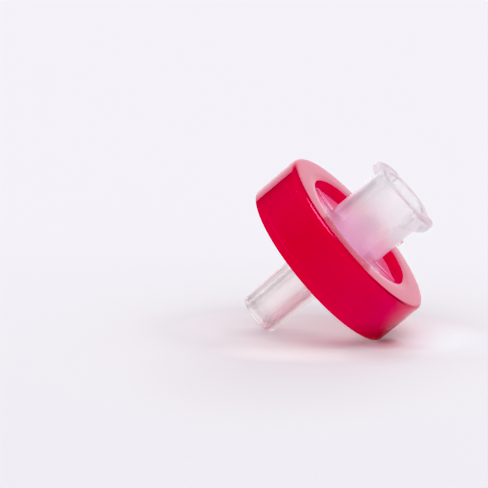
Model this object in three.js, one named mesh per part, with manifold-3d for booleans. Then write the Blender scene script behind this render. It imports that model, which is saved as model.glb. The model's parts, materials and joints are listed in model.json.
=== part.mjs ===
// A syringe filter of the 17 mm class. A membrane is clamped between two clear housing
// halves, and a coloured ring is moulded round their rims and holds them together. The inlet
// half carries a female Luer-lock hub and the outlet half carries a male Luer nozzle.
//
// Each piece is built about the filter's own axis, +Z from the outlet to the inlet, with
// z = 0 at the ring's outlet face. The filter is then laid on the ring's edge and the
// nozzle's tip, as it comes to rest on a bench.

import * as THREE from 'three';
import { mergeVertices } from 'three/addons/utils/BufferGeometryUtils.js';
import Module from 'manifold-3d';

const wasm = await Module();
wasm.setup();

// ---- Driving dimensions: millimetres, and degrees for angles ----

// Moulded ring
const ringDiameter = 17.4;
const ringWall = 1.15; // outside the rim of the housing
const ringLap = 1.6; // over the rim of the housing, on each side
const inletLip = 1.12;
const outletLip = 1.05;
const inletEdgeRadius = 0.45;
const outletEdgeRadius = 0.2;
const windowEdgeRadius = 0.15;

// Housing discs and the membrane between them
const inletDiscThickness = 1.45;
const outletDiscThickness = 1.15;
const weldBand = 0.9; // where the two discs meet, outside the membrane
const sealBand = 0.7; // where they pinch the rim of the membrane
const membraneThickness = 0.15;
const fitClearance = 0.03; // between any two mated faces

// Inlet hub: female Luer cone, with lugs for a lock collar
const hubLength = 6.65; // from the disc's outer face to the mouth
const hubBaseDiameter = 6.24;
const hubMouthDiameter = 6.04;
const hubRootRadius = 0.35;
const hubMouthEdgeRadius = 0.12;
const luerTaper = 0.06; // change of diameter along the length, on both cones
const luerMouthDiameter = 4.29;
const luerMouthChamfer = 0.12;
const ledgeThickness = 0.2; // at the foot of the cone
const inletHoleDiameter = 3.4;

// Two lugs: each runs from the mouth down to a flank that follows a right-hand thread
const lugDiameter = 7.76;
const lugCrestWidth = 1.0; // halfway along a lug
const lugFlankAngle = 25;
const lugSpan = 67;
const lugLead = 5;
const lugMouthEdgeRadius = 0.3;
const lugRootDepth = 0.4; // sunk into the barrel, so that the two are one moulding
const lugAngle = -21.5; // to the first lug's middle

// Ribs on the outer face of the inlet disc, wide and narrow by turns
const faceRibHeight = 0.15;
const wideRibWidth = 0.85;
const narrowRibWidth = 0.4;
const faceRibPairs = 4;
const firstRibAngle = 67; // to the middle of a wide rib

// Flow chamber in the inlet disc
const inletChamberDepth = 0.3;
const chamberRibWidth = 0.35;
const chamberRibRelief = 0.05; // the ribs stop short of the membrane

// Outlet nozzle: male Luer cone
const nozzleLength = 8.7; // from the disc's outer face to the tip
const nozzleTipDiameter = 3.98;
const nozzleRootRadius = 0.4;
const nozzleTipEdgeRadius = 0.15;
const boreTipDiameter = 2.05;
const boreDraft = 0.02; // change of diameter along the length

// Membrane support in the outlet disc: ring-shaped ribs, cut by radial channels
const drainDepth = 0.3;
const supportRibWidth = 0.3;
const supportRibPitch = 0.85;
const drainChannelWidth = 0.5;
const drainChannels = 8;

// Gate marks: the witness of each moulding's sprue
const gateRootDepth = 0.4; // sunk into the wall
const ringGateDiameter = 0.7;
const ringGateHeight = 0.06;
const ringGateAngle = -137.5;
const ringGateStation = 3.9; // height above the ring's outlet face
const hubGateDiameter = 0.7;
const hubGateHeight = 0.2;
const hubGateAngle = 2;
const hubGateStation = 3.2; // height above the disc's outer face

// Fineness of the round forms
const facets = 64;
const ribFacets = 48;
const edgeSteps = 3;
const lugSteps = 8;
const gateFacets = 16;

// ---- Sizes that follow from them ----

const degree = Math.PI / 180;
const embed = 0.05; // how far a rib is sunk into the face that carries it
const sameVertex = 1e-5;
const sameHeight = 1e-9;

const ringRadius = ringDiameter / 2;
const cavityRadius = ringRadius - ringWall;
const discRadius = cavityRadius - fitClearance;
const windowRadius = cavityRadius - ringLap;
const pocketRadius = discRadius - weldBand;
const membraneRadius = pocketRadius - fitClearance;
const chamberRadius = membraneRadius - sealBand;

// Heights of the stack, from the outlet side up
const outletFace = outletLip + fitClearance;
const outletRim = outletFace + outletDiscThickness;
const pocketFloor = outletRim - membraneThickness - fitClearance;
const drainFloor = pocketFloor - drainDepth;
const membraneBottom = pocketFloor + fitClearance;
const inletRim = outletRim + fitClearance;
const inletFace = inletRim + inletDiscThickness;
const lipUnderside = inletFace + fitClearance;
const ringThickness = lipUnderside + inletLip;

const mouth = inletFace + hubLength;
const hubBaseRadius = hubBaseDiameter / 2;
const hubMouthRadius = hubMouthDiameter / 2;
const chamberRoof = inletRim + inletChamberDepth;
const ledgeTop = chamberRoof + ledgeThickness;
const luerMouthRadius = luerMouthDiameter / 2;
const luerFootRadius = luerMouthRadius - luerTaper * (mouth - ledgeTop) / 2;
const inletHoleRadius = inletHoleDiameter / 2;

const nozzleTip = outletFace - nozzleLength;
const nozzleTipRadius = nozzleTipDiameter / 2;
const nozzleRootConeRadius = nozzleTipRadius + luerTaper * nozzleLength / 2;
const boreTipRadius = boreTipDiameter / 2;
const boreTopRadius = boreTipRadius + boreDraft * (drainFloor - nozzleTip) / 2;

// ---- Shapes ----

// A point of a profile: its radius from the axis, and its height.
function at(radius, height) {
  return new THREE.Vector2(radius, height);
}

// A round corner of a profile, with both of its ends.
function corner(centreRadius, centreHeight, size, startAngle, endAngle) {
  const points = [];
  for (let step = 0; step <= edgeSteps; step += 1) {
    const angle = (startAngle + (endAngle - startAngle) * step / edgeSteps) * degree;
    points.push(at(centreRadius + size * Math.cos(angle), centreHeight + size * Math.sin(angle)));
  }
  return points;
}

// Turns a closed profile about +Z, with the middle of a flat facing +X.
function revolve(profile, segments) {
  const closed = [...profile, profile[0].clone()];
  const lathe = new THREE.LatheGeometry(closed, segments, Math.PI / segments);
  return lathe.rotateX(Math.PI / 2);
}

// A closed mesh as a solid that can be joined and cut.
function solidOf(geometry) {
  const bare = geometry.clone();
  bare.deleteAttribute('normal');
  bare.deleteAttribute('uv');
  const merged = mergeVertices(bare, sameVertex);
  const vertProperties = new Float32Array(merged.attributes.position.array);
  const triVerts = new Uint32Array(merged.index.array);
  return new wasm.Manifold(new wasm.Mesh({ numProp: 3, vertProperties, triVerts }));
}

// A solid as a mesh that three.js can show.
function geometryOf(solid) {
  const mesh = solid.getMesh();
  const geometry = new THREE.BufferGeometry();
  geometry.setAttribute('position', new THREE.BufferAttribute(mesh.vertProperties, 3));
  geometry.setIndex(new THREE.BufferAttribute(mesh.triVerts, 1));
  geometry.computeVertexNormals();
  return geometry;
}

// A flat washer between two radii and two heights, as a solid.
function washer(innerRadius, outerRadius, bottom, top, segments) {
  const profile = [
    at(innerRadius, bottom), at(outerRadius, bottom), at(outerRadius, top), at(innerRadius, top),
  ];
  return solidOf(revolve(profile, segments));
}

// A round plug about +Z, as a solid.
function plug(radius, bottom, top, segments) {
  const cylinder = new THREE.CylinderGeometry(radius, radius, top - bottom, segments);
  cylinder.rotateY(Math.PI / segments);
  cylinder.rotateX(Math.PI / 2);
  cylinder.translate(0, 0, (top + bottom) / 2);
  return solidOf(cylinder);
}

// A straight bar that lies along a radius, between two distances from the axis.
function spoke(start, end, width, bottom, top, angle) {
  const bar = new THREE.BoxGeometry(end - start, width, top - bottom);
  bar.translate((start + end) / 2, 0, (top + bottom) / 2);
  bar.rotateZ(angle * degree);
  return solidOf(bar);
}

// A low round boss that stands on a barrel, pointing away from the axis.
function boss(diameter, innerRadius, outerRadius, angle, height) {
  const radius = diameter / 2;
  const length = outerRadius - innerRadius;
  const cylinder = new THREE.CylinderGeometry(radius, radius, length, gateFacets);
  cylinder.rotateZ(Math.PI / 2);
  cylinder.translate((outerRadius + innerRadius) / 2, 0, 0);
  cylinder.rotateZ(angle * degree);
  cylinder.translate(0, 0, height);
  return solidOf(cylinder);
}

// ---- Overmoulded ring ----

function ringProfile() {
  const inset = windowRadius + windowEdgeRadius;
  return [
    ...corner(inset, windowEdgeRadius, windowEdgeRadius, 180, 270),
    ...corner(ringRadius - outletEdgeRadius, outletEdgeRadius, outletEdgeRadius, -90, 0),
    ...corner(ringRadius - inletEdgeRadius, ringThickness - inletEdgeRadius, inletEdgeRadius, 0, 90),
    ...corner(inset, ringThickness - windowEdgeRadius, windowEdgeRadius, 90, 180),
    at(windowRadius, lipUnderside),
    at(cavityRadius, lipUnderside),
    at(cavityRadius, outletLip),
    at(windowRadius, outletLip),
  ];
}

function overmouldRing() {
  const gateRoot = ringRadius - gateRootDepth;
  const gateTop = ringRadius + ringGateHeight;
  const gate = boss(ringGateDiameter, gateRoot, gateTop, ringGateAngle, ringGateStation);
  return geometryOf(solidOf(revolve(ringProfile(), facets)).add(gate));
}

// ---- Inlet housing ----

// The barrel's radius at a height, between the disc's face and the mouth.
function barrelRadius(height) {
  const share = (height - inletFace) / hubLength;
  return hubBaseRadius + (hubMouthRadius - hubBaseRadius) * share;
}

function inletProfile() {
  const edge = hubMouthEdgeRadius;
  const luerLip = luerMouthRadius + luerMouthChamfer;
  return [
    at(inletHoleRadius, chamberRoof),
    at(chamberRadius, chamberRoof),
    at(chamberRadius, inletRim),
    at(discRadius, inletRim),
    at(discRadius, inletFace),
    ...corner(hubBaseRadius + hubRootRadius, inletFace + hubRootRadius, hubRootRadius, 270, 180),
    ...corner(hubMouthRadius - edge, mouth - edge, edge, 0, 90),
    at(luerLip, mouth),
    at(luerMouthRadius, mouth - luerMouthChamfer),
    at(luerFootRadius, ledgeTop),
    at(inletHoleRadius, ledgeTop),
  ];
}

// The blank of one lug: its section is drawn as an extrusion and then bent round the hub
// along a right-hand thread. The extrusion runs backwards round the hub, which keeps its
// faces pointing out. It stands past the crest and the mouth, and is trimmed to them.
function lugBlank(middleAngle) {
  const crest = lugDiameter / 2;
  const root = hubMouthRadius - lugRootDepth;
  const outside = crest + lugRootDepth;
  const rise = lugLead * lugSpan / 360;
  const slope = Math.tan(lugFlankAngle * degree);
  const flank = mouth - lugCrestWidth;
  const section = new THREE.Shape([
    at(root, flank - (crest - root) * slope),
    at(outside, flank + (outside - crest) * slope),
    at(outside, mouth + rise),
    at(root, mouth + rise),
  ]);
  const bar = new THREE.ExtrudeGeometry(section, { depth: 1, steps: lugSteps, bevelEnabled: false });
  const position = bar.attributes.position;
  for (let index = 0; index < position.count; index += 1) {
    const radius = position.getX(index);
    const share = 0.5 - position.getZ(index);
    const angle = (middleAngle + share * lugSpan) * degree;
    const height = position.getY(index) + share * rise;
    position.setXYZ(index, radius * Math.cos(angle), radius * Math.sin(angle), height);
  }
  return solidOf(bar);
}

// Both lugs, trimmed to the crest and to the mouth, with a round edge between the two.
function lugs() {
  const crest = lugDiameter / 2;
  const root = hubMouthRadius - lugRootDepth;
  const edge = lugMouthEdgeRadius;
  const envelope = [
    at(root, inletFace),
    at(crest, inletFace),
    ...corner(crest - edge, mouth - edge, edge, 0, 90),
    at(root, mouth),
  ];
  const blanks = wasm.Manifold.union([lugBlank(lugAngle), lugBlank(lugAngle + 180)]);
  return blanks.intersect(solidOf(revolve(envelope, facets)));
}

// Ribs on the disc's outer face, from the hub's root out to the ring.
function faceRibs() {
  const bottom = inletFace - embed;
  const top = inletFace + faceRibHeight;
  const zone = washer(hubBaseRadius - embed, windowRadius - fitClearance, bottom, top, facets);
  const step = 360 / faceRibPairs;
  const spokes = [];
  for (let pair = 0; pair < faceRibPairs; pair += 1) {
    const angle = firstRibAngle + pair * step;
    spokes.push(spoke(0, windowRadius, wideRibWidth, bottom, top, angle));
    spokes.push(spoke(0, windowRadius, narrowRibWidth, bottom, top, angle + step / 2));
  }
  return wasm.Manifold.union(spokes).intersect(zone);
}

// Ribs that spread the flow over the membrane. Those under the wide ribs meet across the
// inlet hole and break up the jet, and the others start outside it.
function chamberRibs() {
  const bottom = inletRim + chamberRibRelief;
  const step = 360 / faceRibPairs;
  const ribs = [];
  for (let pair = 0; pair < faceRibPairs; pair += 1) {
    const angle = firstRibAngle + pair * step;
    ribs.push(spoke(-embed, chamberRadius + embed, chamberRibWidth, bottom, ledgeTop, angle));
    const start = inletHoleRadius + chamberRibWidth;
    ribs.push(spoke(start, chamberRadius + embed, chamberRibWidth, bottom, ledgeTop, angle + step / 2));
  }
  return wasm.Manifold.union(ribs);
}

function inletHousing() {
  const gateStation = inletFace + hubGateStation;
  const gateTop = barrelRadius(gateStation) + hubGateHeight;
  const gateRoot = barrelRadius(gateStation) - gateRootDepth;
  return geometryOf(
    solidOf(revolve(inletProfile(), facets))
      .add(lugs())
      .add(faceRibs())
      .add(chamberRibs())
      .add(boss(hubGateDiameter, gateRoot, gateTop, hubGateAngle, gateStation)),
  );
}

// ---- Membrane ----

function filterMembrane() {
  const disc = plug(membraneRadius, membraneBottom, membraneBottom + membraneThickness, facets);
  return geometryOf(disc);
}

// ---- Outlet housing ----

function nozzleTipCorner() {
  const edge = nozzleTipEdgeRadius;
  return corner(nozzleTipRadius - edge, nozzleTip + edge, edge, -90, 0);
}

function outletProfile() {
  const root = nozzleRootRadius;
  return [
    at(boreTipRadius, nozzleTip),
    ...nozzleTipCorner(),
    ...corner(nozzleRootConeRadius + root, outletFace - root, root, 180, 90),
    at(discRadius, outletFace),
    at(discRadius, outletRim),
    at(pocketRadius, outletRim),
    at(pocketRadius, pocketFloor),
    at(chamberRadius, pocketFloor),
    at(chamberRadius, drainFloor),
    at(boreTopRadius, drainFloor),
  ];
}

// Ring-shaped ribs that the membrane lies on, cut through by channels to the bore.
function supportRibs() {
  const bottom = drainFloor - embed;
  const rings = [];
  const last = chamberRadius - supportRibWidth;
  for (let inner = boreTopRadius + supportRibWidth; inner < last; inner += supportRibPitch) {
    rings.push(washer(inner, inner + supportRibWidth, bottom, pocketFloor, ribFacets));
  }
  const channels = [];
  const top = pocketFloor + embed;
  for (let index = 0; index < drainChannels; index += 1) {
    const angle = index * 360 / drainChannels;
    channels.push(spoke(0, chamberRadius, drainChannelWidth, drainFloor, top, angle));
  }
  return wasm.Manifold.union(rings).subtract(wasm.Manifold.union(channels));
}

function outletHousing() {
  return geometryOf(solidOf(revolve(outletProfile(), facets)).add(supportRibs()));
}

// ---- Rest ----

// The filter rests where a straight line touches both the nozzle's tip and the ring's
// outlet edge and has every other point of them on one side. The tilt is that line's
// angle to the axis. Flats face down, so radii are measured to the middle of a flat.
function restingTilt() {
  const ringEdge = corner(ringRadius - outletEdgeRadius, outletEdgeRadius, outletEdgeRadius, -90, 0);
  const tipEdge = nozzleTipCorner();
  const flat = Math.cos(Math.PI / facets);
  const outline = [...ringEdge, ...tipEdge].map((point) => at(point.x * flat, point.y));
  const ringPoints = outline.slice(0, ringEdge.length);
  const tipPoints = outline.slice(ringEdge.length);
  let tilt = 0;
  for (const foot of tipPoints) {
    for (const edge of ringPoints) {
      const angle = Math.atan2(edge.x - foot.x, edge.y - foot.y);
      const reach = (point) => (point.x - foot.x) * Math.cos(angle) - (point.y - foot.y) * Math.sin(angle);
      if (outline.every((point) => reach(point) < sameHeight)) {
        tilt = angle;
      }
    }
  }
  return tilt;
}

// ---- Assembly ----

const crimsonPlastic = { color: 0xd0002f, roughness: 0.22, metalness: 0 };
const frostedPlastic = { color: 0xe9e0e4, roughness: 0.4, metalness: 0 };
const clearPlastic = { color: 0xece6e8, roughness: 0.3, metalness: 0 };
const whiteFilm = { color: 0xf6f4f2, roughness: 0.8, metalness: 0 };

function piece(name, geometry, finish) {
  const mesh = new THREE.Mesh(geometry, new THREE.MeshStandardMaterial(finish));
  mesh.name = name;
  return mesh;
}

const filter = new THREE.Group();
filter.add(piece('overmold_ring', overmouldRing(), crimsonPlastic));
filter.add(piece('inlet_housing', inletHousing(), frostedPlastic));
filter.add(piece('filter_membrane', filterMembrane(), whiteFilm));
filter.add(piece('outlet_housing', outletHousing(), clearPlastic));

// The axis leans from upright towards +X, until the filter lies on its two edges.
filter.rotation.y = Math.PI / 2 - restingTilt();

const part = new THREE.Group();
part.add(filter);
part.updateMatrixWorld(true);
const box = new THREE.Box3().setFromObject(part, true);
filter.position.set(-(box.min.x + box.max.x) / 2, -(box.min.y + box.max.y) / 2, -box.min.z);
part.updateMatrixWorld(true);

export default part;
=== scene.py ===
import bpy
import json
import math
import numpy as np
from mathutils import Euler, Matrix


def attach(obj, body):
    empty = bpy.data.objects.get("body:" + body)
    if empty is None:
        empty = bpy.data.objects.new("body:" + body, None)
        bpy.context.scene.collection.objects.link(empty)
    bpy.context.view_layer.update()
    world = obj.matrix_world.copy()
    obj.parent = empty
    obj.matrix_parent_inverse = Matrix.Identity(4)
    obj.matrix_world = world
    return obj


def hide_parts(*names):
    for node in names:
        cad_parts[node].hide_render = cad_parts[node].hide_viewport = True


# A syringe filter: a crimson ring moulded over two frosted housing halves with a membrane between.
# Sizes are in millimetres in the filter's own frame, z = 0 at the ring's outlet face and z up its
# axis towards the inlet. The CAD model's mounts say where that frame lies on the bench.

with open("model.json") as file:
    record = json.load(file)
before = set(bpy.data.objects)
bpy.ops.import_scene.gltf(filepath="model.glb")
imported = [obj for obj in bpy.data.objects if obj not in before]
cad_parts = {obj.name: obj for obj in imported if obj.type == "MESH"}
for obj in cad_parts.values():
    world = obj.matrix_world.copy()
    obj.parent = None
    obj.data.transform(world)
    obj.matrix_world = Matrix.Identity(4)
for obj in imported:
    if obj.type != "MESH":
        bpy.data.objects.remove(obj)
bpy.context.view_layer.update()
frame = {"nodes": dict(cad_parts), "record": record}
mm = 0.001
scene = bpy.context.scene
print("frame loaded:", ", ".join(sorted(frame["nodes"])))

stack = {
    "discRadius": 7.56, "cavityRadius": 7.55, "pocketRadius": 6.62, "windowRadius": 5.95,
    "chamberRadius": 5.89, "outletFace": 1.08, "outletRim": 2.23, "inletRim": 2.26,
    "inletFace": 3.71, "thickness": 4.86, "mouth": 10.36, "tip": -7.62,
}


# ---------- where the filter lies ----------

# The inlet mount gives the axis and the height of the mouth. It stands off the axis along Y only.
def filterFrame():
    mount = next(m for m in frame["record"]["mounts"] if m["name"] == "inlet_mouth")
    axis = np.array(mount["axis"], float)
    axis /= np.linalg.norm(axis)
    across = np.array([0.0, 1.0, 0.0])
    down = np.cross(across, axis)
    mouthMiddle = np.array([mount["pos_m"][0], 0.0, mount["pos_m"][2]])
    return mouthMiddle - axis * stack["mouth"] * mm, down, across, axis


origin, down, across, axis = filterFrame()
print("filter's axis leans %.2f degrees from upright" % math.degrees(math.acos(axis[2])))


def toBench(points):
    return origin + mm * (points[..., :1] * down + points[..., 1:2] * across + points[..., 2:] * axis)


# ---------- surfaces ----------

# A mesh from points in the filter's frame and faces, laid on the bench.
def meshOf(name, points, faces):
    mesh = bpy.data.meshes.new(name)
    mesh.from_pydata(toBench(points.reshape(-1, 3)).tolist(), [], faces)
    mesh.update()
    piece = bpy.data.objects.new(name, mesh)
    scene.collection.objects.link(piece)
    return piece


# Quads of a grid that closes on itself both ways: each point, its neighbour round and the next along.
def wrappedQuads(columns, rows):
    index = np.arange(columns * rows).reshape(columns, rows)
    beside = np.roll(index, -1, 0)
    quads = np.stack([index, beside, np.roll(beside, -1, 1), np.roll(index, -1, 1)], -1)
    return quads.reshape(-1, 4).tolist()


# A profile (columns x rows x [radius, height]) carried round the axis: x = r cos a, y = r sin a, z = h.
def turned(name, outline, angles):
    radius, height = outline[..., 0], outline[..., 1]
    points = np.stack([radius * np.cos(angles)[:, None], radius * np.sin(angles)[:, None], height], -1)
    return meshOf(name, points, wrappedQuads(*radius.shape))


# Turns points about the filter's axis: x cos a - y sin a, x sin a + y cos a, z as it was.
def aboutAxis(points, degrees):
    turn = math.radians(degrees)
    x, y, z = np.moveaxis(points, -1, 0)
    return np.stack([x * math.cos(turn) - y * math.sin(turn), x * math.sin(turn) + y * math.cos(turn), z], -1)


# Softens each corner of closed outlines with a parabola that leaves a given distance before the
# corner and lands as far after it, and takes up less than half of each side:
# (1-s)^2 before + 2s(1-s) corner + s^2 after.
def softened(corners, reach, steps=6):
    ahead = np.roll(corners, -1, -2) - corners
    behind = np.roll(corners, 1, -2) - corners
    reach = np.asarray(reach, float)[..., None]
    lengthAhead = np.linalg.norm(ahead, axis=-1, keepdims=True)
    lengthBehind = np.linalg.norm(behind, axis=-1, keepdims=True)
    after = corners + ahead / lengthAhead * np.minimum(reach, lengthAhead * 0.45)
    before = corners + behind / lengthBehind * np.minimum(reach, lengthBehind * 0.45)
    s = np.linspace(0, 1, steps)[:, None]
    before, corner, after = before[..., None, :], corners[..., None, :], after[..., None, :]
    arcs = (1 - s) ** 2 * before + 2 * s * (1 - s) * corner + s ** 2 * after
    return arcs.reshape(*corners.shape[:-2], -1, 2)


# Evenly spaced angles, with closer ones near the given places.
def anglesWith(count, places=(), spread=0.03, extra=24):
    even = np.arange(count) * 2 * math.pi / count
    near = [place + np.linspace(-spread, spread, extra) for place in places]
    return np.unique(np.round(np.concatenate([even, *near]) % (2 * math.pi), 6))


# 0 below low, 1 above high, and t^2 (3 - 2t) between them.
def smoothStep(low, high, value):
    t = np.clip((value - low) / (high - low), 0, 1)
    return t * t * (3 - 2 * t)


# How far an angle is from a place, the short way round.
def turnFrom(angles, place):
    return (angles - place + math.pi) % (2 * math.pi) - math.pi


# A straight bar along a radius with a round-edged top: its section (y, z) is carried along x from
# start to end, and the bar is turned about the filter's axis.
def bar(name, start, end, width, bottom, top, degrees, edge):
    half = width / 2
    corners = np.array([[half, bottom], [half, top], [-half, top], [-half, bottom]])
    section = softened(corners, [0, edge, edge, 0], 5)
    apart = np.linalg.norm(np.diff(section, axis=0), axis=1) > 1e-6
    section = section[np.r_[True, apart]]
    x, y = np.meshgrid([start, end], section[:, 0], indexing="ij")
    z = np.broadcast_to(section[:, 1], x.shape)
    row = np.arange(len(section))
    beside = np.roll(row, -1)
    sides = np.stack([row, beside, beside + len(row), row + len(row)], -1)
    caps = [row[::-1].tolist(), (row + len(row)).tolist()]
    return meshOf(name, aboutAxis(np.stack([x, y, z], -1), degrees), sides.tolist() + caps)


# Joins tools to a body or cuts them from it, and leaves one plain mesh.
def combined(body, tools, operation="UNION"):
    for tool in tools:
        step = body.modifiers.new(tool.name, "BOOLEAN")
        step.operation, step.solver, step.object = operation, "MANIFOLD", tool
    bpy.context.view_layer.update()
    mesh = bpy.data.meshes.new_from_object(body.evaluated_get(bpy.context.evaluated_depsgraph_get()))
    body.modifiers.clear()
    body.data = mesh
    for tool in tools:
        bpy.data.objects.remove(tool)
    return body


def finishPiece(piece, material, slot, *nodes, sharp=32):
    mesh = piece.data
    mesh.materials.clear()
    mesh.materials.append(material)
    mesh.shade_smooth()
    mesh.set_sharp_from_angle(angle=math.radians(sharp))
    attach(piece, "root")
    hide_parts(*nodes)
    print("%s: %d faces" % (piece.name, len(mesh.polygons)))


# ---------- shader maths ----------

class Wire:
    def __init__(self, tree, socket=None):
        self.tree, self.socket = tree, socket

    # Any node: its settings first, then the values or links of its sockets.
    def node(self, kind, settings=None, feeds=None, out=0):
        made = self.tree.nodes.new(kind)
        for name, value in (settings or {}).items():
            setattr(made, name, value)
        for name, value in (feeds or {}).items():
            if isinstance(value, Wire):
                self.tree.links.new(value.socket, made.inputs[name])
            else:
                made.inputs[name].default_value = value
        return Wire(self.tree, made.outputs[out] if made.outputs else None)

    # Another output of the node that this wire leaves.
    def output(self, name):
        return Wire(self.tree, self.socket.node.outputs[name])

    def xyz(self):
        parts = self.node("ShaderNodeSeparateXYZ", None, {0: self})
        return [parts.output(i) for i in range(3)]

    def maths(self, operation, first, second=0.0):
        return self.node("ShaderNodeMath", {"operation": operation}, {0: first, 1: second})

    def vector(self, operation, other=(0, 0, 0), out=0):
        return self.node("ShaderNodeVectorMath", {"operation": operation}, {0: self, 1: other}, out)

    def __add__(self, other):
        return self.maths("ADD", self, other)

    def __radd__(self, other):
        return self.maths("ADD", other, self)

    def __sub__(self, other):
        return self.maths("SUBTRACT", self, other)

    def __rsub__(self, other):
        return self.maths("SUBTRACT", other, self)

    def __mul__(self, other):
        return self.maths("MULTIPLY", self, other)

    def __rmul__(self, other):
        return self.maths("MULTIPLY", other, self)

    def __truediv__(self, other):
        return self.maths("DIVIDE", self, other)

    def __pow__(self, other):
        return self.maths("POWER", self, other)

    def __abs__(self):
        return self.maths("ABSOLUTE", self)

    def larger(self, other):
        return self.maths("MAXIMUM", self, other)

    # 0 at the first value, 1 at the second, and held there beyond them.
    def between(self, low, high):
        feeds = {"Value": self, "From Min": low, "From Max": high}
        return self.node("ShaderNodeMapRange", {"clamp": True}, feeds)

    # Rises from 0 to 1 between the first two values and falls back between the last two.
    def band(self, start, full, fade, end):
        return self.between(start, full) * self.between(end, fade)

    def noise(self, scale, detail=3.0, rough=0.5):
        feeds = {"Vector": self, "Scale": scale, "Detail": detail, "Roughness": rough}
        return self.node("ShaderNodeTexNoise", None, feeds)

    def bump(self, strength, distance):
        return self.node("ShaderNodeBump", None, {"Height": self, "Strength": strength, "Distance": distance})

    # Goes from one colour to another by this share. A colour is a wire or three numbers.
    def blend(self, one, other):
        one, other = (colour if isinstance(colour, Wire) else (*colour, 1) for colour in (one, other))
        return self.node("ShaderNodeMix", {"data_type": "RGBA"}, {0: self, 6: one, 7: other}, 2)


# A material with one Principled shader. The recipe gives the plain socket values and the wires.
def plastic(name, recipe):
    material = bpy.data.materials.new(name)
    material.use_nodes = True
    material.node_tree.nodes.clear()
    place = Wire(material.node_tree).node("ShaderNodeTexCoord", out="Object")
    shader = place.node("ShaderNodeBsdfPrincipled", None, recipe(place))
    place.node("ShaderNodeOutputMaterial", None, {"Surface": shader})
    return material


# How far a place is from the filter's origin along a direction, in millimetres.
def alongWay(place, way):
    return place.vector("SUBTRACT", tuple(origin)).vector("DOT_PRODUCT", tuple(way), 1) / mm


def overBench(place):
    return place.xyz()[2] / mm


# How far a place is along the filter's axis and away from it, in millimetres.
def alongAndAway(place):
    fromOrigin = place.vector("SUBTRACT", tuple(origin))
    along = fromOrigin.vector("DOT_PRODUCT", tuple(axis), 1)
    reach = fromOrigin.vector("LENGTH", out=1)
    away = (reach * reach - along * along) ** 0.5
    return along / mm, away / mm


# In each look, a name that ends in Along, Away, Low, High or Front holds the places between which a
# tint comes in: up the filter's axis, away from it, towards the ring's low side, over the bench and
# to the back. Four numbers rise between the first two and fall between the last two.
crimsonLook = {
    "ior": 1.50, "sheen": (1.0, 0.25, 0.4), "inside": 0.6, "bleed": (0.004, 0.0003, 0.001),
    "rough": 0.035, "driftRough": 0.045, "footRough": 0.25, "footRoughHigh": (2.6, 1.2),
    "peelScale": 1900, "peelDepth": 0.000006, "peel": 0.15, "driftScale": 160, "drift": 0.15,
    "colour": (0.595, 0.0, 0.050),
    "benchBounce": (0.62, 0.0, 0.088), "benchBounceLow": (0, 8),
    "crownLight": (0.64, 0.0, 0.068), "crownLightLow": (-1.5, -6.0),
    "foot": (0.36, 0.0, 0.006), "footShadeHigh": (2.6, 0.5),
    "face": (0.525, 0.0, 0.055), "faceAlong": (4.35, 4.75), "topLow": (-7.3, -8.0),
    "creaseShade": (0.16, 0.0, 0.015), "seamAlong": (4.68, 4.73, 4.77, 4.81), "seamAway": (8.56, 8.62),
    "seamFront": (-3.0, -5.0), "seamLow": (2.2, 5.6),
    "witness": (0.78, 0.015, 0.13), "witnessAlong": (0.62, 0.70, 0.72, 0.80),
    "witnessLow": (-7.2, -6.4, -1.0, 2.0), "witnessDrift": (0.35, 0.55), "witnessShare": 0.6,
    "lipLight": (0.76, 0.0, 0.088), "lipAway": (stack["windowRadius"] + 0.12, stack["windowRadius"] + 0.04),
}


# Pigmented plastic off a polished mould: a faint orange peel, and gloss that drifts with the flow.
# It is painted lighter at the crown, where more light falls, painted bluer towards the bench as the
# bench's reflection, and painted dark at its foot as shade, where it is also dull. The inlet face and
# the very top are painted a little darker as shade, and the window's thin lip is painted lighter for
# the light that comes through it. Two fine lines are painted: a dark one where band and face meet,
# low on the front, as the shade in the crease of the mould's parting line, and a light one round the
# band near the outlet face as a highlight.
def crimsonRecipe(place):
    look = crimsonLook
    drift = place.noise(look["driftScale"], 2)
    peel = place.noise(look["peelScale"], 2, 0.4)
    along, away = alongAndAway(place)
    low, high = alongWay(place, down), overBench(place)
    # Painted reflection: the band is bluer and a little lighter towards the bench for the light the bench
    # throws back, with a random drift.
    body = (low.between(*look["benchBounceLow"]) + look["drift"] * (drift - 0.5)).blend(look["colour"], look["benchBounce"])
    # Painted light: the crown is lighter where more light falls.
    body = low.between(*look["crownLightLow"]).blend(body, look["crownLight"])
    # Painted shade: the foot near the bench is dark.
    body = high.between(*look["footShadeHigh"]).blend(body, look["foot"])
    # Painted shade: the inlet face and the very top are a little darker.
    onFace = along.between(*look["faceAlong"]).larger(low.between(*look["topLow"]))
    body = onFace.blend(body, look["face"])
    # Painted shade in the crease of the mould's parting line, where band and face meet, low on the front.
    lowInFront = alongWay(place, across).between(*look["seamFront"]) * low.between(*look["seamLow"])
    creaseShade = along.band(*look["seamAlong"]) * away.between(*look["seamAway"]) * lowInFront
    body = creaseShade.blend(body, look["creaseShade"])
    # Painted highlight: a light line round the band near the outlet face.
    witness = along.band(*look["witnessAlong"]) * low.band(*look["witnessLow"])
    witness = look["witnessShare"] * witness * drift.between(*look["witnessDrift"])
    body = witness.blend(body, look["witness"])
    rough = look["rough"] + look["driftRough"] * drift
    # Painted light: the window's thin lip is lighter for the light that comes through it.
    return {
        "Base Color": away.between(*look["lipAway"]).blend(body, look["lipLight"]),
        "Roughness": rough + look["footRough"] * high.between(*look["footRoughHigh"]),
        "IOR": look["ior"],
        "Specular Tint": (*look["sheen"], 1),
        "Subsurface Weight": look["inside"],
        "Subsurface Radius": look["bleed"],
        "Subsurface Scale": 1.0,
        "Normal": peel.bump(look["peel"], look["peelDepth"]),
    }


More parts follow.
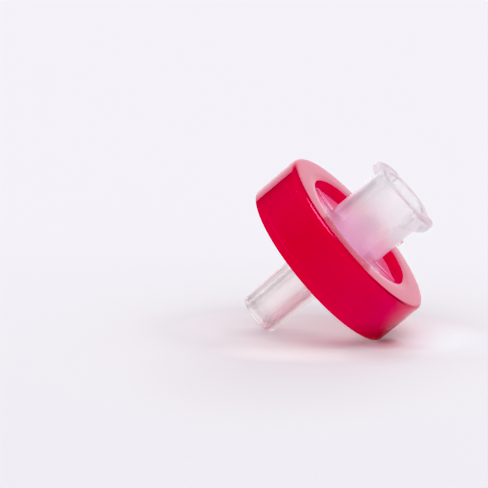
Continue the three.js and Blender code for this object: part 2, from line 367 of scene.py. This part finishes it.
frostedLook = {
    "ior": 1.49, "clear": 0.66, "body": 0.76, "rough": 0.11, "cloudRough": 0.06, "mottleRough": 0.12,
    "rimRough": 0.35, "cloudScale": 420, "mottleScale": 1700,
    "colour": (1.0, 0.985, 0.99), "haze": (0.042, 0.052, 0.052),
    "ringLightTint": (1.0, 0.885, 1.0), "ringLightGlow": (0.074, 0.045, 0.085), "rootAlong": (4.0, 6.6),
    "rootDrift": 1.6,
    "faceLightTint": (1.0, 0.50, 0.74), "faceLightGlow": (0.17, 0.035, 0.085), "faceAway": (3.3, 5.0),
    "faceAlong": (stack["inletFace"] + 0.3, stack["inletFace"] + 0.2),
    "wallShade": (0.66, 0.585, 0.64), "wallLow": (-2.9, -2.6, -2.42, -2.1),
    "wallAlong": (4.2, 5.2, 9.1, 9.4),
    "lugShade": (0.95, 0.83, 0.93), "lipAlong": (stack["mouth"] - 1.2, stack["mouth"] - 1.0),
    "lipAway": (3.05, 3.2),
    "rimShade": (0.64, 0.56, 0.61), "rimAlong": (stack["mouth"] - 0.2, stack["mouth"] - 0.12),
    "rimInnerAway": (2.36, 2.28), "rimOuterAway": (2.78, 2.9), "rimOuterShare": 0.75,
    "rimRoughAlong": (stack["mouth"] - 0.10, stack["mouth"] - 0.02),
    "stepShade": (0.80, 0.76, 0.81), "stepStation": 6.4, "stepReach": (1.7, 0.05), "stepAway": (2.9, 3.0),
    "mottleTint": (0.90, 0.84, 0.89), "mottleFrom": (0.48, 0.68), "mottleRoughFrom": (0.45, 0.7),
    "mottleShare": 0.6,
}


# Natural polypropylene: clear plastic with a milky haze inside, which shows as a share of the
# surface that neither bends nor blocks the light, and a faint glow painted in as emission for the
# light that the haze scatters. Near the ring the colour and the glow are painted pink for the ring's
# light that comes through the plastic, and the window's face is painted pink with a glow as well.
# The thick wall at the top, the lugs, the rim of the mouth and a round patch on the front and the
# back of the barrel are painted a little darker as shade.
def frostedRecipe(place):
    look = frostedLook
    cloud = place.noise(look["cloudScale"], 3)
    mottle = place.noise(look["mottleScale"], 3, 0.6)
    along, away = alongAndAway(place)
    low = alongWay(place, down)
    upTheHub = (along + look["rootDrift"] * (cloud - 0.5)).between(*look["rootAlong"])
    onFace = away.between(*look["faceAway"]) * along.between(*look["faceAlong"])
    inWall = low.band(*look["wallLow"]) * along.band(*look["wallAlong"])
    inLip = along.between(*look["lipAlong"]) * away.between(*look["lipAway"])
    rims = away.between(*look["rimInnerAway"]) + look["rimOuterShare"] * away.between(*look["rimOuterAway"])
    onRim = along.between(*look["rimAlong"]) * rims.between(0, 1)
    fromStep = along - look["stepStation"]
    nearStep = (low * low + fromStep * fromStep).between(*look["stepReach"]) * away.between(*look["stepAway"])
    # Painted light: the hub is pink near the ring for the ring's light through the plastic.
    hub = upTheHub.blend(look["ringLightTint"], look["colour"])
    # Painted shade: the thick wall at the top is darker.
    hub = inWall.blend(hub, look["wallShade"])
    # Painted shade: the lugs are a little darker.
    hub = inLip.blend(hub, look["lugShade"])
    # Painted shade: the rim of the mouth is darker.
    hub = onRim.blend(hub, look["rimShade"])
    # Painted shade: a round patch on the front and the back of the barrel.
    hub = nearStep.blend(hub, look["stepShade"])
    hub = (look["mottleShare"] * mottle.between(*look["mottleFrom"])).blend(hub, look["mottleTint"])
    # Painted glow as emission: the light the haze scatters, pink near the ring.
    glow = upTheHub.blend(look["ringLightGlow"], look["haze"])
    rough = look["rough"] + look["cloudRough"] * cloud
    rough = rough + look["mottleRough"] * mottle.between(*look["mottleRoughFrom"])
    # Painted light: the window's face is pink, with a pink glow, for the ring's light.
    return {
        "Base Color": onFace.blend(hub, look["faceLightTint"]),
        "Emission Color": onFace.blend(glow, look["faceLightGlow"]),
        "Emission Strength": 1.0,
        "Roughness": rough + look["rimRough"] * along.between(*look["rimRoughAlong"]),
        "IOR": look["ior"],
        "Transmission Weight": look["clear"],
        "Alpha": look["body"],
    }


clearLook = {
    "ior": 1.49, "clear": 0.80, "body": 0.78, "rough": 0.05, "cloudRough": 0.05, "cloudScale": 380,
    "grainScale": 3800, "grainDepth": 0.000003, "grain": 0.15,
    "colour": (0.98, 0.947, 0.95), "haze": (0.050, 0.048, 0.047),
    "streakLightTint": (0.82, 0.52, 0.58), "streakLightGlow": (0.025, 0.0, 0.004), "underLow": (0.55, 1.2, 1.6, 1.95),
    "edgeGlow": (0.20, 0.18, 0.18), "edgeLow": (1.55, 1.85),
    "outlineShade": (0.60, 0.52, 0.55), "sideFrom": (0.945, 0.98), "sideAlong": (1.0, 0.6), "sideShare": 0.8,
    "tipAlong": (-7.15, -6.95, -6.75, -6.45), "tipShare": 0.7, "tipRadius": 1.99, "draft": 0.03,
}


# The same plastic, clearer and finer off the mould, with a faint glow painted in as emission for the
# light its haze scatters. The ring's light is painted as a pink streak along the nozzle's underside,
# its lowest edge has a painted glow, and fine lines of painted shade run along its top and bottom and
# round its tip.
def clearRecipe(place):
    look = clearLook
    cloud = place.noise(look["cloudScale"], 3)
    grain = place.noise(look["grainScale"], 2, 0.5)
    along, low = alongWay(place, axis), alongWay(place, down)
    side = abs(low) / (look["tipRadius"] + look["draft"] * (along - stack["tip"]))
    onSide = look["sideShare"] * (side.between(*look["sideFrom"]) * along.between(*look["sideAlong"]))
    # Painted shade: fine dark lines along the top and bottom and round the tip.
    lines = (onSide + look["tipShare"] * along.band(*look["tipAlong"])).between(0, 1)
    # Painted light: the ring's pink streak along the underside.
    under = low.band(*look["underLow"])
    nozzle = under.blend(look["colour"], look["streakLightTint"])
    # Painted glow as emission, with the ring's pink light along the underside.
    glow = under.blend(look["haze"], look["streakLightGlow"])
    return {
        "Base Color": lines.blend(nozzle, look["outlineShade"]),
        # Painted glow on the lowest edge.
        "Emission Color": low.between(*look["edgeLow"]).blend(glow, look["edgeGlow"]),
        "Emission Strength": 1.0,
        "Roughness": look["rough"] + look["cloudRough"] * cloud,
        "IOR": look["ior"],
        "Transmission Weight": look["clear"],
        "Alpha": look["body"],
        "Normal": grain.bump(look["grain"], look["grainDepth"]),
    }


filmLook = {
    "light": (0.93, 0.90, 0.91), "dark": (0.86, 0.83, 0.84), "darkFrom": (0.3, 0.7), "rough": 0.75,
    "fibreRough": 0.15, "fibreScale": 9000, "fibreDepth": 0.00001, "fibre": 0.5,
}


# A cast membrane: matt, with fine fibres that are light and dark by turns.
def filmRecipe(place):
    look = filmLook
    fibre = place.noise(look["fibreScale"], 4, 0.7)
    return {
        "Base Color": fibre.between(*look["darkFrom"]).blend(look["light"], look["dark"]),
        "Roughness": look["rough"] + look["fibreRough"] * fibre,
        "Normal": fibre.bump(look["fibre"], look["fibreDepth"]),
    }


crimson = plastic("crimsonPlastic", crimsonRecipe)
frosted = plastic("frostedPlastic", frostedRecipe)
clear = plastic("clearPlastic", clearRecipe)
film = plastic("whiteFilm", filmRecipe)
print("materials made")


# ---------- ring ----------

ringSizes = {
    "radius": 8.70, "cavityFloor": 1.05, "cavityRoof": 3.74,
    "inletEdge": 0.62, "outletEdge": 0.10, "windowEdge": 0.14, "grooveEdge": 0.03,
    "sinkFrom": 6.7, "sink": 0.08, "sinkEase": 0.2,
    "lowEdge": 0.34, "sharpMiddle": -38, "sharpSpan": (26, 50),
    "gateAngle": -136.5, "gateStation": 3.86, "gateRadius": 0.36, "gateRim": 0.08, "gateDip": 0.06,
    "gateSpan": 0.45, "gateRows": 30, "gateTurn": 0.06, "gateColumns": 40, "columns": 288,
    "edgeSteps": 9,
}


# The ring's outline has soft outer corners and a square groove for the discs. Its inlet face sinks a
# little towards the window, and its inlet corner is sharper over part of the low side. Where the
# band was gated the radius rises to a round rim about a dip:
# rim exp(-((d-0.75)/0.2)^2) - dip exp(-(d/0.4)^2), with d the distance over the gate's radius.
def ringMoulding():
    size = ringSizes
    gateAngle = math.radians(size["gateAngle"])
    angles = anglesWith(size["columns"], [gateAngle], size["gateTurn"], size["gateColumns"])
    window, cavity, inletFace = stack["windowRadius"], stack["cavityRadius"], stack["thickness"]
    profile = np.array([  # radius, height, softening
        [window, 0, size["windowEdge"]],
        [size["radius"], 0, size["outletEdge"]],
        [size["radius"], inletFace, size["inletEdge"]],
        [size["sinkFrom"], inletFace, size["sinkEase"]],
        [window, inletFace - size["sink"], size["windowEdge"]],
        [window, size["cavityRoof"], size["grooveEdge"]],
        [cavity, size["cavityRoof"], size["grooveEdge"]],
        [cavity, size["cavityFloor"], size["grooveEdge"]],
        [window, size["cavityFloor"], size["grooveEdge"]],
    ])
    profile = np.repeat(profile[None], len(angles), 0)
    fromSharp = np.abs(np.degrees(turnFrom(angles, math.radians(size["sharpMiddle"]))))
    sharper = 1 - smoothStep(*size["sharpSpan"], fromSharp)
    profile[:, 2, 2] += (size["lowEdge"] - size["inletEdge"]) * sharper
    outline = softened(profile[..., :2], profile[..., 2], size["edgeSteps"])
    # Rows are added up the band, between its two outer corners, closer at the gate's station.
    foot, head = size["outletEdge"], inletFace - size["inletEdge"]
    heights = np.unique(np.concatenate([
        np.linspace(foot, head, 6),
        size["gateStation"] + np.linspace(-size["gateSpan"], size["gateSpan"], size["gateRows"])]))
    heights = heights[(heights > foot + 0.01) & (heights < head - 0.01)]
    column = np.stack([np.full_like(heights, size["radius"]), heights], -1)
    column = np.repeat(column[None], len(angles), 0)
    band = 2 * size["edgeSteps"]
    outline = np.concatenate([outline[:, :band], column, outline[:, band:]], 1)
    sideways = turnFrom(angles, gateAngle)[:, None] * size["radius"]
    away = np.hypot(sideways, outline[..., 1] - size["gateStation"]) / size["gateRadius"]
    rim = size["gateRim"] * np.exp(-((away - 0.75) / 0.2) ** 2)
    dip = size["gateDip"] * np.exp(-(away / 0.4) ** 2)
    onBand = outline[..., 0] > size["radius"] - 1e-4
    outline[..., 0] += np.where(onBand, rim - dip, 0)
    return turned("ringMoulding", outline, angles)


ring = ringMoulding()
finishPiece(ring, crimson, "crimson_plastic", "overmold_ring", sharp=50)


# ---------- inlet half ----------

hubSizes = {
    "baseRadius": 3.12, "mouthRadius": 3.02, "rootFillet": 0.5, "mouthEdge": 0.16,
    "coneMouth": 2.145, "coneFoot": 1.917, "ledgeTop": 2.76, "chamberRoof": 2.56, "holeRadius": 1.7,
    "lipChamfer": 0.12, "lipEdge": 0.06, "ledgeEdge": 0.1, "holeEdge": 0.04, "rimEdge": 0.05,
    "faceEdge": 0.08,
    "lugCrest": 3.80, "lugWidth": 1.12, "lugSpan": 67, "lugLead": 5.0, "lugMiddle": -21.5,
    "flankAngle": 25, "flankEdge": 0.16, "lugMouthEdge": 0.58, "crestEdge": 0.14, "lugEnd": 0.05,
    "columns": 224, "endTurn": 0.035, "endColumns": 15,
}


# The outline of the disc and hub, one for each angle. Inside a lug the corners on the hub's
# outside move out to the crest: its rear flank leans by the flank angle and climbs with the lead,
# by the share of the lug's span that the angle lies past its middle.
def inletMoulding():
    size = hubSizes
    halfSpan = math.radians(size["lugSpan"]) / 2
    middles = [math.radians(size["lugMiddle"]), math.radians(size["lugMiddle"] + 180)]
    ends = [middle + side * halfSpan for middle in middles for side in (-1, 1)]
    angles = anglesWith(size["columns"], ends, size["endTurn"], size["endColumns"])
    halfEnd = size["lugEnd"] / 2
    inLug, share = np.zeros(len(angles)), np.zeros(len(angles))
    for middle in middles:
        turn = turnFrom(angles, middle)
        inLug = np.maximum(inLug, 1 - smoothStep(halfSpan - halfEnd, halfSpan + halfEnd, np.abs(turn)))
        near = np.abs(turn) < math.pi / 2
        share = np.where(near, np.clip(turn / (2 * halfSpan), -0.6, 0.6), share)
    mouth, disc, chamber = stack["mouth"], stack["discRadius"], stack["chamberRadius"]
    rise = size["lugLead"] * size["lugSpan"] / 360
    crestFoot = mouth - size["lugWidth"] + share * rise
    slope = math.tan(math.radians(size["flankAngle"]))
    flankFoot = crestFoot - (size["lugCrest"] - size["mouthRadius"]) * slope

    def barrel(height):
        climb = (height - stack["inletFace"]) / (mouth - stack["inletFace"])
        return size["baseRadius"] + (size["mouthRadius"] - size["baseRadius"]) * climb

    crest = barrel(crestFoot) + (size["lugCrest"] - barrel(crestFoot)) * inLug
    mouthOutside = size["mouthRadius"] + (size["lugCrest"] - size["mouthRadius"]) * inLug
    mouthEdge = size["mouthEdge"] + (size["lugMouthEdge"] - size["mouthEdge"]) * inLug
    corners = [  # radius, height, softening
        (size["holeRadius"], size["chamberRoof"], size["rimEdge"]),
        (chamber, size["chamberRoof"], size["faceEdge"]),
        (chamber, stack["inletRim"], size["rimEdge"]),
        (disc, stack["inletRim"], size["rimEdge"]),
        (disc, stack["inletFace"], size["faceEdge"]),
        (size["baseRadius"], stack["inletFace"], size["rootFillet"]),
        (barrel(flankFoot), flankFoot, size["flankEdge"]),
        (crest, crestFoot, size["crestEdge"]),
        (mouthOutside, mouth, mouthEdge),
        (size["coneMouth"] + size["lipChamfer"], mouth, size["lipEdge"]),
        (size["coneMouth"], mouth - size["lipChamfer"], size["lipEdge"]),
        (size["coneFoot"], size["ledgeTop"], size["ledgeEdge"]),
        (size["holeRadius"], size["ledgeTop"], size["holeEdge"]),
    ]
    profile = np.stack([np.stack(np.broadcast_arrays(*corner, angles)[:3], -1) for corner in corners], 1)
    outline = softened(profile[..., :2], profile[..., 2], 7)
    return turned("inletMoulding", outline, angles)


ribSizes = {
    "pairs": 4, "first": 67, "wide": 0.85, "narrow": 0.4, "height": 0.15, "edge": 0.07, "sunk": 0.1,
    "start": 2.9, "windowGap": 0.03, "chamberWidth": 0.35, "relief": 0.05, "bite": 0.05,
    "underLedge": 0.01,
}


# On the face the ribs are by turns wide and narrow. In the chamber every other one starts outside
# the hole, and the rest run to its middle.
def inletRibs():
    size = ribSizes
    tools = []
    for count in range(2 * size["pairs"]):
        angle = size["first"] + count * 180 / size["pairs"]
        width = size["narrow"] if count % 2 else size["wide"]
        tools.append(bar("faceRib%d" % count, size["start"], stack["windowRadius"] - size["windowGap"],
                         width, stack["inletFace"] - size["sunk"], stack["inletFace"] + size["height"],
                         angle, size["edge"]))
        start = hubSizes["holeRadius"] + size["chamberWidth"] if count % 2 else -size["bite"]
        tools.append(bar("chamberRib%d" % count, start, stack["chamberRadius"] + size["bite"],
                         size["chamberWidth"], stack["inletRim"] + size["relief"],
                         hubSizes["ledgeTop"] - size["underLedge"], angle, 0.0))
    return tools


stubSizes = {
    "angle": 2, "station": 3.2, "radius": 0.35, "height": 0.15, "edge": 0.08, "sunk": 0.4, "sides": 28,
    "burr": (0.02, 0.05, 0.04),
}


# The gate's stub: a short round peg off the barrel, its end left a little uneven. Rings of radius r
# stand d from the filter's axis, at x = d, y = r cos a, z = r sin a, and a fan closes each end.
def gateStub():
    size = stubSizes
    radius, edge = size["radius"], size["edge"]
    foot, top = hubSizes["baseRadius"] - size["sunk"], hubSizes["baseRadius"] + size["height"]
    rings = np.array([[radius, foot], [radius, top - edge],
                      [radius - 0.3 * edge, top - 0.3 * edge], [radius - edge, top]])
    turns = np.arange(size["sides"]) * 2 * math.pi / size["sides"]
    x, y, z = np.broadcast_arrays(rings[:, 1:], rings[:, :1] * np.cos(turns), rings[:, :1] * np.sin(turns))
    points = np.stack([x, y, z], -1).reshape(-1, 3)
    points = np.concatenate([[[foot, 0, 0]], points, [np.array([top, 0, 0]) + size["burr"]]])
    points[:, 2] += stack["inletFace"] + size["station"]
    grid = 1 + np.arange(rings.shape[0] * size["sides"]).reshape(rings.shape[0], -1)
    beside = np.roll(grid, -1, 1)
    sides = np.stack([grid[:-1], beside[:-1], beside[1:], grid[1:]], -1).reshape(-1, 4)
    footFan = np.stack([0 * grid[0], beside[0], grid[0]], -1)
    topFan = np.stack([grid[-1], beside[-1], 0 * grid[-1] + len(points) - 1], -1)
    faces = sides.tolist() + footFan.tolist() + topFan.tolist()
    return meshOf("gateStub", aboutAxis(points, size["angle"]), faces)


inlet = combined(inletMoulding(), inletRibs() + [gateStub()])
finishPiece(inlet, frosted, "frosted_plastic", "inlet_housing")


# ---------- outlet half ----------

nozzleSizes = {
    "tipRadius": 1.99, "rootRadius": 2.251, "rootFillet": 0.56, "tipEdge": 0.2,
    "boreTip": 1.025, "boreTop": 1.119, "drainFloor": 1.75, "pocketFloor": 2.05,
    "edge": 0.05, "pocketEdge": 0.03, "ribFootEdge": 0.04,
    "ribWidth": 0.3, "ribPitch": 0.85, "channel": 0.5, "channels": 8, "channelStart": 1.15,
    "channelGap": 0.02, "channelLift": 0.002, "channelOver": 0.2, "columns": 224,
}


# The outline of the nozzle, the disc and the pocket, and then in over the support ribs, which are
# rings round the bore, one pitch apart.
def outletMoulding():
    size = nozzleSizes
    disc, pocket, chamber = stack["discRadius"], stack["pocketRadius"], stack["chamberRadius"]
    floor, top, edge = size["drainFloor"], size["pocketFloor"], size["edge"]
    profile = [  # radius, height, softening
        (size["boreTip"], stack["tip"], edge),
        (size["tipRadius"], stack["tip"], size["tipEdge"]),
        (size["rootRadius"], stack["outletFace"], size["rootFillet"]),
        (disc, stack["outletFace"], edge),
        (disc, stack["outletRim"], edge),
        (pocket, stack["outletRim"], size["pocketEdge"]),
        (pocket, top, size["pocketEdge"]),
        (chamber, top, size["pocketEdge"]),
        (chamber, floor, edge),
    ]
    first, last = size["boreTop"] + size["ribWidth"], chamber - size["ribWidth"]
    for inner in np.arange(first, last, size["ribPitch"])[::-1]:
        outer = inner + size["ribWidth"]
        profile += [(outer, floor, size["ribFootEdge"]), (outer, top, edge),
                    (inner, top, edge), (inner, floor, size["ribFootEdge"])]
    profile.append((size["boreTop"], floor, edge))
    profile = np.array(profile)
    angles = anglesWith(size["columns"])
    outline = softened(profile[:, :2], profile[:, 2])
    return turned("outletMoulding", np.repeat(outline[None], len(angles), 0), angles)


# The channels run from the bore to the chamber's wall, just clear of the drain's floor.
def drainCuts():
    size = nozzleSizes
    end = stack["chamberRadius"] - size["channelGap"]
    floor, over = size["drainFloor"] + size["channelLift"], size["pocketFloor"] + size["channelOver"]
    return [bar("drainCut%d" % i, size["channelStart"], end, size["channel"], floor, over,
                i * 360 / size["channels"], 0.0) for i in range(size["channels"])]


outlet = combined(outletMoulding(), drainCuts(), "DIFFERENCE")
finishPiece(outlet, clear, "clear_plastic", "outlet_housing")

frame["nodes"]["filter_membrane"].data.materials.clear()
frame["nodes"]["filter_membrane"].data.materials.append(film)


# ---------- bench ----------

bench = {
    "half": 12.0, "near": (0.84, 0.835, 0.86), "far": (0.875, 0.87, 0.895), "depth": (-0.05, 0.04),
    "glow": (0.16, 0.14, 0.155), "rough": 0.5, "hazeRough": 0.1, "hazeScale": 30,
    "grain": (0.78, 0.775, 0.80), "grainScale": 7000, "grainFrom": (0.5, 0.8), "grainShare": 0.5,
}


# Soft spots of painted light, shadow and reflection on the bench: a middle, how far from it the
# tint is full and where it ends, how much narrower it is from front to back, and the tint. The pool
# is painted light that comes through the ring, which also glows a little.
pool = {"at": (-0.0014, 0.0012), "full": 0.004, "end": 0.0150, "narrow": 1.45, "tint": (0.95, 0.925, 0.94)}
spots = [
    # a painted reflection of the filter in the bench's sheen
    {"at": (-0.001, -0.016), "full": 0.004, "end": 0.014, "narrow": 0.8, "tint": (0.81, 0.785, 0.815)},
    pool,
    # light thrown off to the front and the right
    {"at": (-0.0028, -0.0082), "full": 0.002, "end": 0.0075, "narrow": 1.9, "tint": (0.97, 0.955, 0.97)},
    {"at": (0.0090, -0.0003), "full": 0.002, "end": 0.0075, "narrow": 1.0, "tint": (0.89, 0.94, 0.96)},
    # the ring's shadow, in two parts
    {"at": (-0.0032, -0.0012), "full": 0.001, "end": 0.0078, "narrow": 2.4, "tint": (0.73, 0.665, 0.70)},
    {"at": (0.0016, -0.0034), "full": 0.001, "end": 0.0080, "narrow": 2.8, "tint": (0.73, 0.53, 0.59)},
    # painted reflections of the ring's foot in the sheen
    {"at": (0.0052, -0.0068), "full": 0.0005, "end": 0.0036, "narrow": 0.75, "tint": (0.77, 0.725, 0.755)},
    {"at": (0.0046, -0.0030), "full": 0.0003, "end": 0.0021, "narrow": 0.9, "tint": (0.74, 0.42, 0.50)},
    # a painted contact shadow where the ring touches
    {"at": (0.0046, -0.0016), "full": 0.0002, "end": 0.0013, "narrow": 0.8, "tint": (0.48, 0.10, 0.16)},
]


def spotShare(place, spot):
    x, y = spot["at"]
    squeezed = place.vector("MULTIPLY", (1, spot["narrow"], 1))
    offset = squeezed.vector("DISTANCE", (x, y * spot["narrow"], 0), 1)
    return offset.between(spot["end"], spot["full"])


# The bench darkens a little towards the front, and the light, shadows and reflections about the ring are
# painted on it.
def benchRecipe(place):
    haze = place.noise(bench["hazeScale"], 3)
    grain = place.noise(bench["grainScale"], 2, 0.6)
    shade = place.xyz()[1].between(*bench["depth"]).blend(bench["near"], bench["far"])
    for spot in spots:
        shade = spotShare(place, spot).blend(shade, spot["tint"])
    grained = bench["grainShare"] * grain.between(*bench["grainFrom"])
    return {
        "Base Color": grained.blend(shade, bench["grain"]),
        # The pool of light is painted with a faint glow.
        "Emission Color": spotShare(place, pool).blend((0, 0, 0), bench["glow"]),
        "Emission Strength": 1.0,
        "Roughness": bench["rough"] + bench["hazeRough"] * haze,
        "Specular IOR Level": 0.0,
    }


def benchTop():
    half = bench["half"]
    mesh = bpy.data.meshes.new("benchTop")
    corners = [(-half, -half, 0), (half, -half, 0), (half, half, 0), (-half, half, 0)]
    mesh.from_pydata(corners, [], [(0, 1, 2, 3)])
    mesh.materials.append(plastic("paleBench", benchRecipe))
    top = bpy.data.objects.new("benchTop", mesh)
    scene.collection.objects.link(top)


benchTop()


# ---------- light ----------

# The softbox behind, as directions in degrees: turned from straight behind the filter towards its
# right, and above the horizon. It shades from its foot's strength to its head's.
softbox = {"turn": (-43, 38), "height": (-8, 31), "edge": 0.8, "fade": 7, "foot": 1.23, "head": 1.26}
# The round light overhead, a little to the front and right: the cosines where it starts and is full.
overhead = {"from": (0.29, -0.23, 0.93), "start": 0.90, "full": 0.965, "strength": 10.0}
# The soft light that shades matt surfaces, further to the right.
key = {"from": (0.46, -0.10, 0.882), "start": 0.90, "full": 0.965, "strength": 1.5}
# The room as the eye sees it, as it shows through the plastic off to the sides, as a glossy surface
# mirrors it, with the bench's light low in front, and as it lights matt surfaces.
air = {
    "tone": (0.985, 0.975, 1.0), "seen": 0.92, "aside": 0.3, "asideDepth": (0.3, 0.9),
    "mirrorTone": (0.97, 0.92, 1.02), "dim": 0.08, "low": 0.6, "lowHeight": (16, 0), "lowDepth": (0.2, -0.2),
    "lit": 0.738, "front": 0.70,
}


def boxGlow(turn, height, box):
    edge, fade = box["edge"], box["fade"]
    left, right = box["turn"]
    foot, head = box["height"]
    wide = turn.band(left - edge, left + edge, right - edge, right + edge)
    tall = height.band(foot - fade, foot + fade, head - fade, head + fade)
    return wide * tall * (box["foot"] + (box["head"] - box["foot"]) * height.between(foot, head))


# To the eye and through the plastic the room is a pale wall, and it lights matt surfaces softly
# from above. A glossy surface mirrors a dim room with the softbox and the overhead light lit.
def room():
    world = bpy.data.worlds.new("room")
    world.use_nodes = True
    world.node_tree.nodes.clear()
    towards = Wire(world.node_tree).node("ShaderNodeTexCoord", out="Generated")
    x, y, z = towards.xyz()
    turn = towards.maths("ARCTAN2", x, y) * (180 / math.pi)
    height = towards.maths("ARCSINE", z) * (180 / math.pi)

    def roundGlow(light):
        east, north, up = light["from"]
        return light["strength"] * (x * east + y * north + z * up).between(light["start"], light["full"])

    lowInFront = height.between(*air["lowHeight"]) * y.between(*air["lowDepth"])
    mirrored = air["dim"] + air["low"] * lowInFront + boxGlow(turn, height, softbox) + roundGlow(overhead)
    lit = air["lit"] + roundGlow(key) + air["front"] * y.between(0, -1)
    direct = towards.node("ShaderNodeLightPath", out="Is Camera Ray")
    bent = direct.output("Is Transmission Ray") * (1 - direct)
    mirror = direct.output("Is Glossy Ray") * (1 - bent) * (1 - direct)
    aside = air["aside"] + (1 - air["aside"]) * y.between(*air["asideDepth"])
    strength = air["seen"] * (direct + bent * aside) + mirror * mirrored + (1 - direct - bent - mirror) * lit
    tone = mirror.blend(air["tone"], air["mirrorTone"])
    glow = towards.node("ShaderNodeBackground", None, {"Color": tone, "Strength": strength})
    towards.node("ShaderNodeOutputWorld", None, {"Surface": glow})
    scene.world = world


room()


# ---------- camera ----------

view = {
    "at": (0.02584, -0.14435, 0.03300), "tilt": 80.452, "pan": 13.474, "lens": 120.82, "sensor": 36,
    "clip": (0.005, 20), "black": 0.028,
}


def camera():
    data = bpy.data.cameras.new("camera")
    data.lens, data.sensor_width = view["lens"], view["sensor"]
    data.clip_start, data.clip_end = view["clip"]
    holder = bpy.data.objects.new("camera", data)
    holder.location = view["at"]
    holder.rotation_euler = Euler((math.radians(view["tilt"]), 0, math.radians(view["pan"])))
    scene.collection.objects.link(holder)
    scene.camera = holder


camera()
scene.cycles.max_bounces = scene.cycles.transmission_bounces = 32
scene.cycles.diffuse_bounces = scene.cycles.glossy_bounces = 12
scene.view_settings.view_transform = "Standard"
scene.view_settings.use_curve_mapping = True
scene.view_settings.curve_mapping.black_level = (view["black"],) * 3
print("bench, light and camera set")
